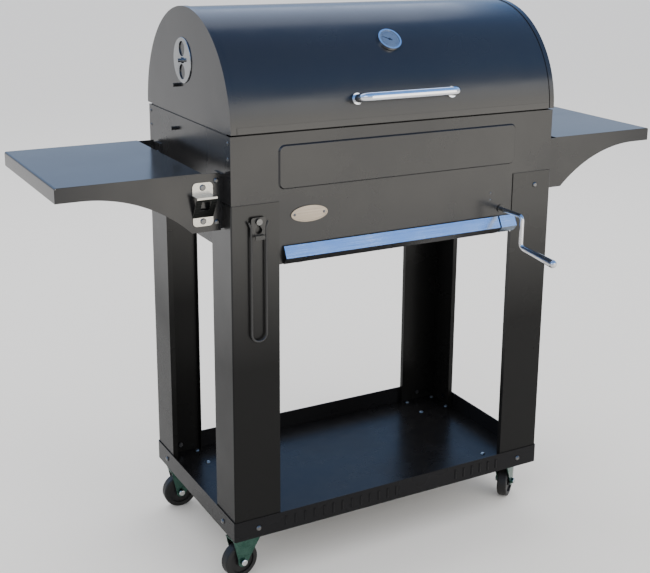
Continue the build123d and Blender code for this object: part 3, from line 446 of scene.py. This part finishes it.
# %% Which finish goes on which piece
FINISHES = {
    coat_hood: ["hood_skin", "hood_end_left", "hood_end_right"],
    coat_gloss: ["front_panel", "rear_panel", "side_panel_left", "side_panel_right",
                 "left_shelf_front_apron", "left_shelf_rear_apron", "right_shelf_front_apron",
                 "right_shelf_rear_apron", "shelf_brackets", "hinge_leaves_body", "hinge_leaves_lid",
                 "ash_drawer"],
    coat_shelf: ["left_shelf_top", "right_shelf_top"],
    coat_leg: ["leg_front_left", "leg_front_right", "leg_rear_left", "leg_rear_right"],
    black_wire: ["grate_lifter", "crank_bushes", "warming_rack", "rack_links"],
    coat_satin: ["base_tray"],
    enamel: ["cooking_grate_left", "cooking_grate_right"],
    chrome: ["lid_handle", "thermometer_case"],
    vent_plate: ["vent_left", "vent_right"],
    crank_plate: ["crank_rod", "crank_grip"],
    stainless: ["drawer_lip", "lip_end"],
    opener_steel: ["bottle_opener"],
    badge_plate: ["badge"],
    zinc: ["caster_plates", "caster_bolts", "lid_nuts"],
    fork_zinc_painted_reflection: ["caster_fork_front_left", "caster_fork_front_right", "caster_fork_rear_left",
                "caster_fork_rear_right"],
    dark_bolt: ["frame_bolts", "shelf_bolts", "panel_screws"],
    rolled: ["slider_frame", "slider_nut", "tray_guides", "firebox_floor_plates", "grate_rails",
             "charcoal_tray"],
    rubber: ["caster_wheel_front_left", "caster_wheel_front_right", "caster_wheel_rear_left",
             "caster_wheel_rear_right"],
    dial_paint: ["thermometer_dial"],
    needle_paint: ["thermometer_needle"],
}
for finish, names in FINISHES.items():
    for name in names:
        cad[name].data.materials.clear()
        cad[name].data.materials.append(finish)
unpainted = set(cad) - {name for names in FINISHES.values() for name in names}
print("painted; left over:", sorted(unpainted))

# %% [markdown]
# The thermometer wants a glass and a scale. The glass starts as a filled circle; a few insets,
# each lifted a little, crown it, and Solidify gives it its thickness. Insets keep the rings
# round, which scaling a grid would not.

# %% Where the dial sits
HOOD_AXIS = Vector((0.0, 0.092, 0.994))     # the hood's barrel runs along X through here
low, high = (Vector(corner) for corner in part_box("thermometer_dial"))
dial_centre = (low + high) / 2
outward = Vector((0.0, dial_centre.y - HOOD_AXIS.y, dial_centre.z - HOOD_AXIS.z)).normalized()
sideways = Vector((1.0, 0.0, 0.0))
dial_seat = Matrix.Translation(dial_centre) @ Matrix(
    (sideways, outward.cross(sideways), outward)).transposed().to_4x4()
print("dial at", tuple(round(c, 4) for c in dial_centre))

# %% Thermometer glass
clear, clear_tree, clear_shader = new_material("gauge_glass")
clear_shader.inputs["Transmission Weight"].default_value = 1.0
clear_shader.inputs["IOR"].default_value = 1.45
film = group_in(clear_tree, smudges, Scale=60.0, Roughness=0.02, Strength=0.08)
clear_tree.links.new(film.outputs["Roughness"], clear_shader.inputs["Roughness"])

GLASS_R = 22.6 * MM
GLASS_SEAT = 2.0 * MM         # above the middle of the dial plate
GLASS_WALL = 0.5 * MM
CROWN = ((3.0, 0.45), (4.0, 0.35), (5.0, 0.2), (5.0, 0.08))     # inset and lift, in mm

start_clean()
bpy.ops.mesh.primitive_circle_add(vertices=72, radius=GLASS_R, fill_type="NGON", location=(0, 0, GLASS_SEAT))
glass = bpy.context.object
glass.name = "thermometer_glass"
bpy.ops.object.mode_set(mode="EDIT")
bpy.ops.mesh.select_all(action="SELECT")
for inset, lift in CROWN:
    bpy.ops.mesh.inset(thickness=inset * MM, depth=0)
    bpy.ops.transform.translate(value=(0, 0, lift * MM))
bpy.ops.object.mode_set(mode="OBJECT")
wall = glass.modifiers.new("wall", "SOLIDIFY")
wall.thickness = GLASS_WALL
apply_all(glass)
smooth(place(glass, dial_seat), 40)
glass.data.materials.append(clear)
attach(glass, "lid")
print("glass faces", len(glass.data.polygons))

# %% [markdown]
# The scale is a ring of fine bars over three quarters of the dial, with longer bars at every
# fifth place, and no figures. One bar is a cube pressed flat; the rest are copies of it, turned
# about the dial's middle and joined.

# %% Dial scale
BARS, SWEEP = 31, 270.0       # degrees
BAR_OUTER = 18.5 * MM
BAR_RISE = 0.46 * MM          # middle of a bar, above the middle of the dial plate
LONG_BAR, SHORT_BAR = (0.55, 3.6), (0.35, 2.2)      # width and length, in mm
scale_paint = finish_powder(
    "scale_paint", (0.06, 0.06, 0.07), (0.09, 0.09, 0.09), Roughness=0.4, Dust=0.2)


def scale_bar(index):
    width, length = LONG_BAR if index % 5 == 0 else SHORT_BAR
    start_clean()
    bpy.ops.mesh.primitive_cube_add(size=1, location=(0, BAR_OUTER - length * MM / 2, BAR_RISE))
    bar = bpy.context.object
    bar.scale = (width * MM, length * MM, 0.1 * MM)
    angle = math.radians(SWEEP / 2 - SWEEP * index / (BARS - 1))
    return place(bar, Matrix.Rotation(angle, 4, "Z"))


bars = [scale_bar(i) for i in range(BARS)]
only(bars[0])
for bar in bars:
    bar.select_set(True)
bpy.ops.object.join()
dial_scale = bpy.context.object
dial_scale.name = "thermometer_scale"
place(dial_scale, dial_seat)
dial_scale.data.materials.append(scale_paint)
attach(dial_scale, "lid")
print("scale bars", BARS)

# %% [markdown]
# Each caster's axle ends in a domed zinc cap. One cap is a short cylinder whose top is inset and
# lifted twice; a bevel rounds the rest. The wheel joints of the frame say where each axle lies
# and which way it points, so the eight copies need only the distance from the wheel's middle to
# each end of the axle.

# %% Model one axle cap
CAP_R, CAP_H = 7.2 * MM, 1.6 * MM
DOME = ((1.4, 0.8), (2.0, 0.5))     # inset and lift, in mm
bright_zinc = finish_steel(
    "bright_zinc", (0.5, 0.51, 0.5), (0.62, 0.63, 0.62), Roughness=0.2, Depth=0.04, **EVEN)

start_clean()
bpy.ops.mesh.primitive_cylinder_add(vertices=32, radius=CAP_R, depth=CAP_H, location=(0, 0, CAP_H / 2))
cap = bpy.context.object
bpy.ops.object.mode_set(mode="EDIT")
bpy.ops.mesh.select_mode(type="FACE")
bpy.ops.mesh.select_all(action="DESELECT")
bpy.ops.object.mode_set(mode="OBJECT")
for face in cap.data.polygons:
    face.select = face.normal.z > 0.9
bpy.ops.object.mode_set(mode="EDIT")
for inset, lift in DOME:
    bpy.ops.mesh.inset(thickness=inset * MM, depth=0)
    bpy.ops.transform.translate(value=(0, 0, lift * MM))
bpy.ops.object.mode_set(mode="OBJECT")
edge = cap.modifiers.new("edge", "BEVEL")
edge.width = 0.4 * MM
edge.segments = 2
edge.limit_method = "ANGLE"
apply_all(cap)
cap.data.materials.append(bright_zinc)
print("cap faces", len(cap.data.polygons))

# %% Seat a cap on both ends of every axle
AXLE_END = {1: 22.0 * MM, -1: 21.5 * MM}      # from the wheel's middle to the two ends


def seat_cap(joint, corner, side):
    """A copy of the cap, looking outwards along the wheel joint's axis."""
    aim = Vector(joint["axis"]) * side
    spot = Vector(joint["pos_m"]) + aim * AXLE_END[side]
    twin = own_copy(cap, "axle_cap_" + corner + ("_a" if side > 0 else "_b"))
    smooth(place(twin, Matrix.Translation(spot) @ aim.to_track_quat("Z", "Y").to_matrix().to_4x4()), 40)
    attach(twin, "caster_" + corner)
    return twin


WHEEL_JOINT = "wheel_roll_"
wheel_joints = [joint for joint in frame["joints"] if joint["name"].startswith(WHEEL_JOINT)]
caps = [seat_cap(joint, joint["name"].replace(WHEEL_JOINT, ""), side)
        for joint in wheel_joints for side in AXLE_END]
start_clean()
bpy.data.objects.remove(cap)
print("axle caps:", len(caps))

# %% [markdown]
# The stage is a plain pale floor, large enough to fill the view behind the grill.

# %% Floor
start_clean()
bpy.ops.mesh.primitive_plane_add(size=80)
floor = bpy.context.object
floor.name = "floor"
pale, pale_tree, pale_shader = new_material("pale_floor")
pale_shader.inputs["Base Color"].default_value = (0.86, 0.86, 0.86, 1)
pale_shader.inputs["Roughness"].default_value = 0.9
floor.data.materials.append(pale)
print("floor laid")

# %% [markdown]
# Black gloss and bright metal show their surroundings more than their own colour. So the room
# has two faces: whatever is mirrored sees a clear sky that pales towards the horizon, and all
# other light is neutral, which keeps the floor pale. A Light Path node in the world tells the
# two apart. Soft panels add the broad sheen on the front and along the top of the hood.

# %% World
world = bpy.data.worlds.new("soft_room")
bpy.context.scene.world = world
world.use_nodes = True
sky = world.node_tree
height = node(sky, "ShaderNodeSeparateXYZ")
sky.links.new(node(sky, "ShaderNodeTexCoord").outputs["Generated"], height.inputs[0])
ramp = node(sky, "ShaderNodeValToRGB")
sky.links.new(height.outputs["Z"], ramp.inputs["Fac"])
SKY_BANDS = [(0.0, (0.42, 0.42, 0.43)), (0.14, (0.34, 0.41, 0.53)), (0.34, (0.3, 0.45, 0.74)),
             (0.56, (0.14, 0.33, 0.74)), (1.0, (0.1, 0.2, 0.46))]      # height and colour
while len(ramp.color_ramp.elements) < len(SKY_BANDS):
    ramp.color_ramp.elements.new(0.5)
for stop, (level, colour) in zip(ramp.color_ramp.elements, SKY_BANDS):
    stop.position = level
    stop.color = (*colour, 1)
mirrored_sky = sky.nodes["Background"]
mirrored_sky.inputs["Strength"].default_value = 1.9
sky.links.new(ramp.outputs["Color"], mirrored_sky.inputs["Color"])
plain_light = node(sky, "ShaderNodeBackground")
plain_light.inputs["Color"].default_value = (1.0, 0.99, 0.98, 1)
plain_light.inputs["Strength"].default_value = 1.35
chooser = node(sky, "ShaderNodeMixShader")
sky.links.new(node(sky, "ShaderNodeLightPath").outputs["Is Glossy Ray"], chooser.inputs[0])
sky.links.new(plain_light.outputs[0], chooser.inputs[1])
sky.links.new(mirrored_sky.outputs[0], chooser.inputs[2])
sky.links.new(chooser.outputs[0], sky.nodes["World Output"].inputs["Surface"])
print("room built")


# %% Soft panels
def soft_panel(name, spot, aim, wide, tall, radiance, colour):
    """An area light of an even brightness; its power follows from its size."""
    light = bpy.data.lights.new(name, "AREA")
    light.shape = "RECTANGLE"
    light.size, light.size_y = wide, tall
    light.energy = radiance * math.pi * wide * tall
    light.color = colour
    lamp = bpy.data.objects.new(name, light)
    bpy.context.scene.collection.objects.link(lamp)
    lamp.location = spot
    lamp.rotation_euler = (Vector(aim) - Vector(spot)).to_track_quat("-Z", "Y").to_euler()
    lamp.visible_camera = False
    return lamp


WARM, NEUTRAL = (1.0, 0.94, 0.82), (1.0, 0.99, 0.97)
soft_panel("panel_low_front", (1.35, -2.4, 1.03), (1.2, 0.0, 1.03), 2.7, 2.0, 2.4, WARM)
soft_panel("panel_overhead", (0.0, 2.6, 4.0), (0.0, 0.0, 1.1), 6.0, 3.2, 1.2, NEUTRAL)
soft_panel("panel_front_left", (-4.2, -2.6, 3.4), (0.0, 0.0, 0.6), 2.6, 2.6, 1.2, NEUTRAL)
print("panels lit")

# %% [markdown]
# The camera stands to the front left, a little above the hood, and looks slightly down.

# %% Camera
EYE = (-1.2832, -2.1743, 1.4164)
YAW, PITCH, ROLL = math.radians(30.59), math.radians(14.84), math.radians(0.99)
ahead = Vector((math.sin(YAW) * math.cos(PITCH), math.cos(YAW) * math.cos(PITCH), -math.sin(PITCH)))
right = Vector((math.cos(YAW), -math.sin(YAW), 0.0))
over = right.cross(ahead)
side_axis = math.cos(ROLL) * right + math.sin(ROLL) * over
up_axis = -math.sin(ROLL) * right + math.cos(ROLL) * over
lens = bpy.data.cameras.new("camera")
camera = bpy.data.objects.new("camera", lens)
bpy.context.scene.collection.objects.link(camera)
turn = Matrix((side_axis, up_axis, -ahead)).transposed().to_4x4()
camera.matrix_world = Matrix.Translation(EYE) @ turn
lens.sensor_width = 36
lens.lens = 63.7
lens.shift_x, lens.shift_y = -0.0699, -0.1037
bpy.context.scene.camera = camera
print("camera at", tuple(round(c, 3) for c in camera.location))
